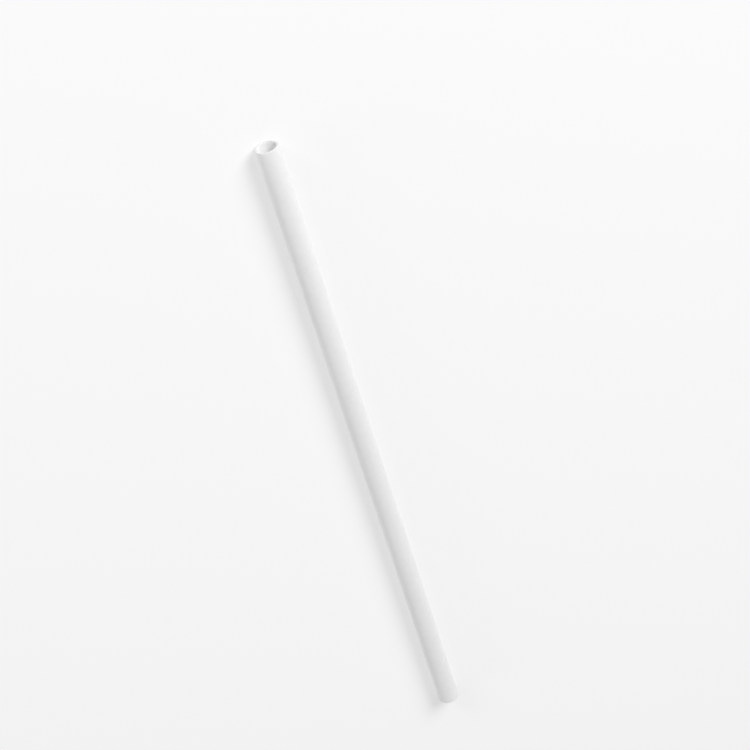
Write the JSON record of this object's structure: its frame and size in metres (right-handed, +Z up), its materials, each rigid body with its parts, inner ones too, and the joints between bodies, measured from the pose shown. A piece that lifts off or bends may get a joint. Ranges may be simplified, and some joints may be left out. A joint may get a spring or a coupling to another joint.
{
  "type": "paper drinking straw",
  "caption": "Straight white paper drinking straw, spiral-wound from glued plies, open at both square-cut ends.",
  "frame": {"origin": "under the middle of the straw's length, on the surface that the straw lies on", "axes": "+X along the straw towards the end that is drunk from, +Z up; the axis of the straw is one outer radius above the origin"},
  "size_m": [0.197, 0.006, 0.006],
  "materials": {
    "white_paper": "matt"
  },
  "bodies": {
    "root": {"straw": "white_paper"}
  },
  "joints": []
}
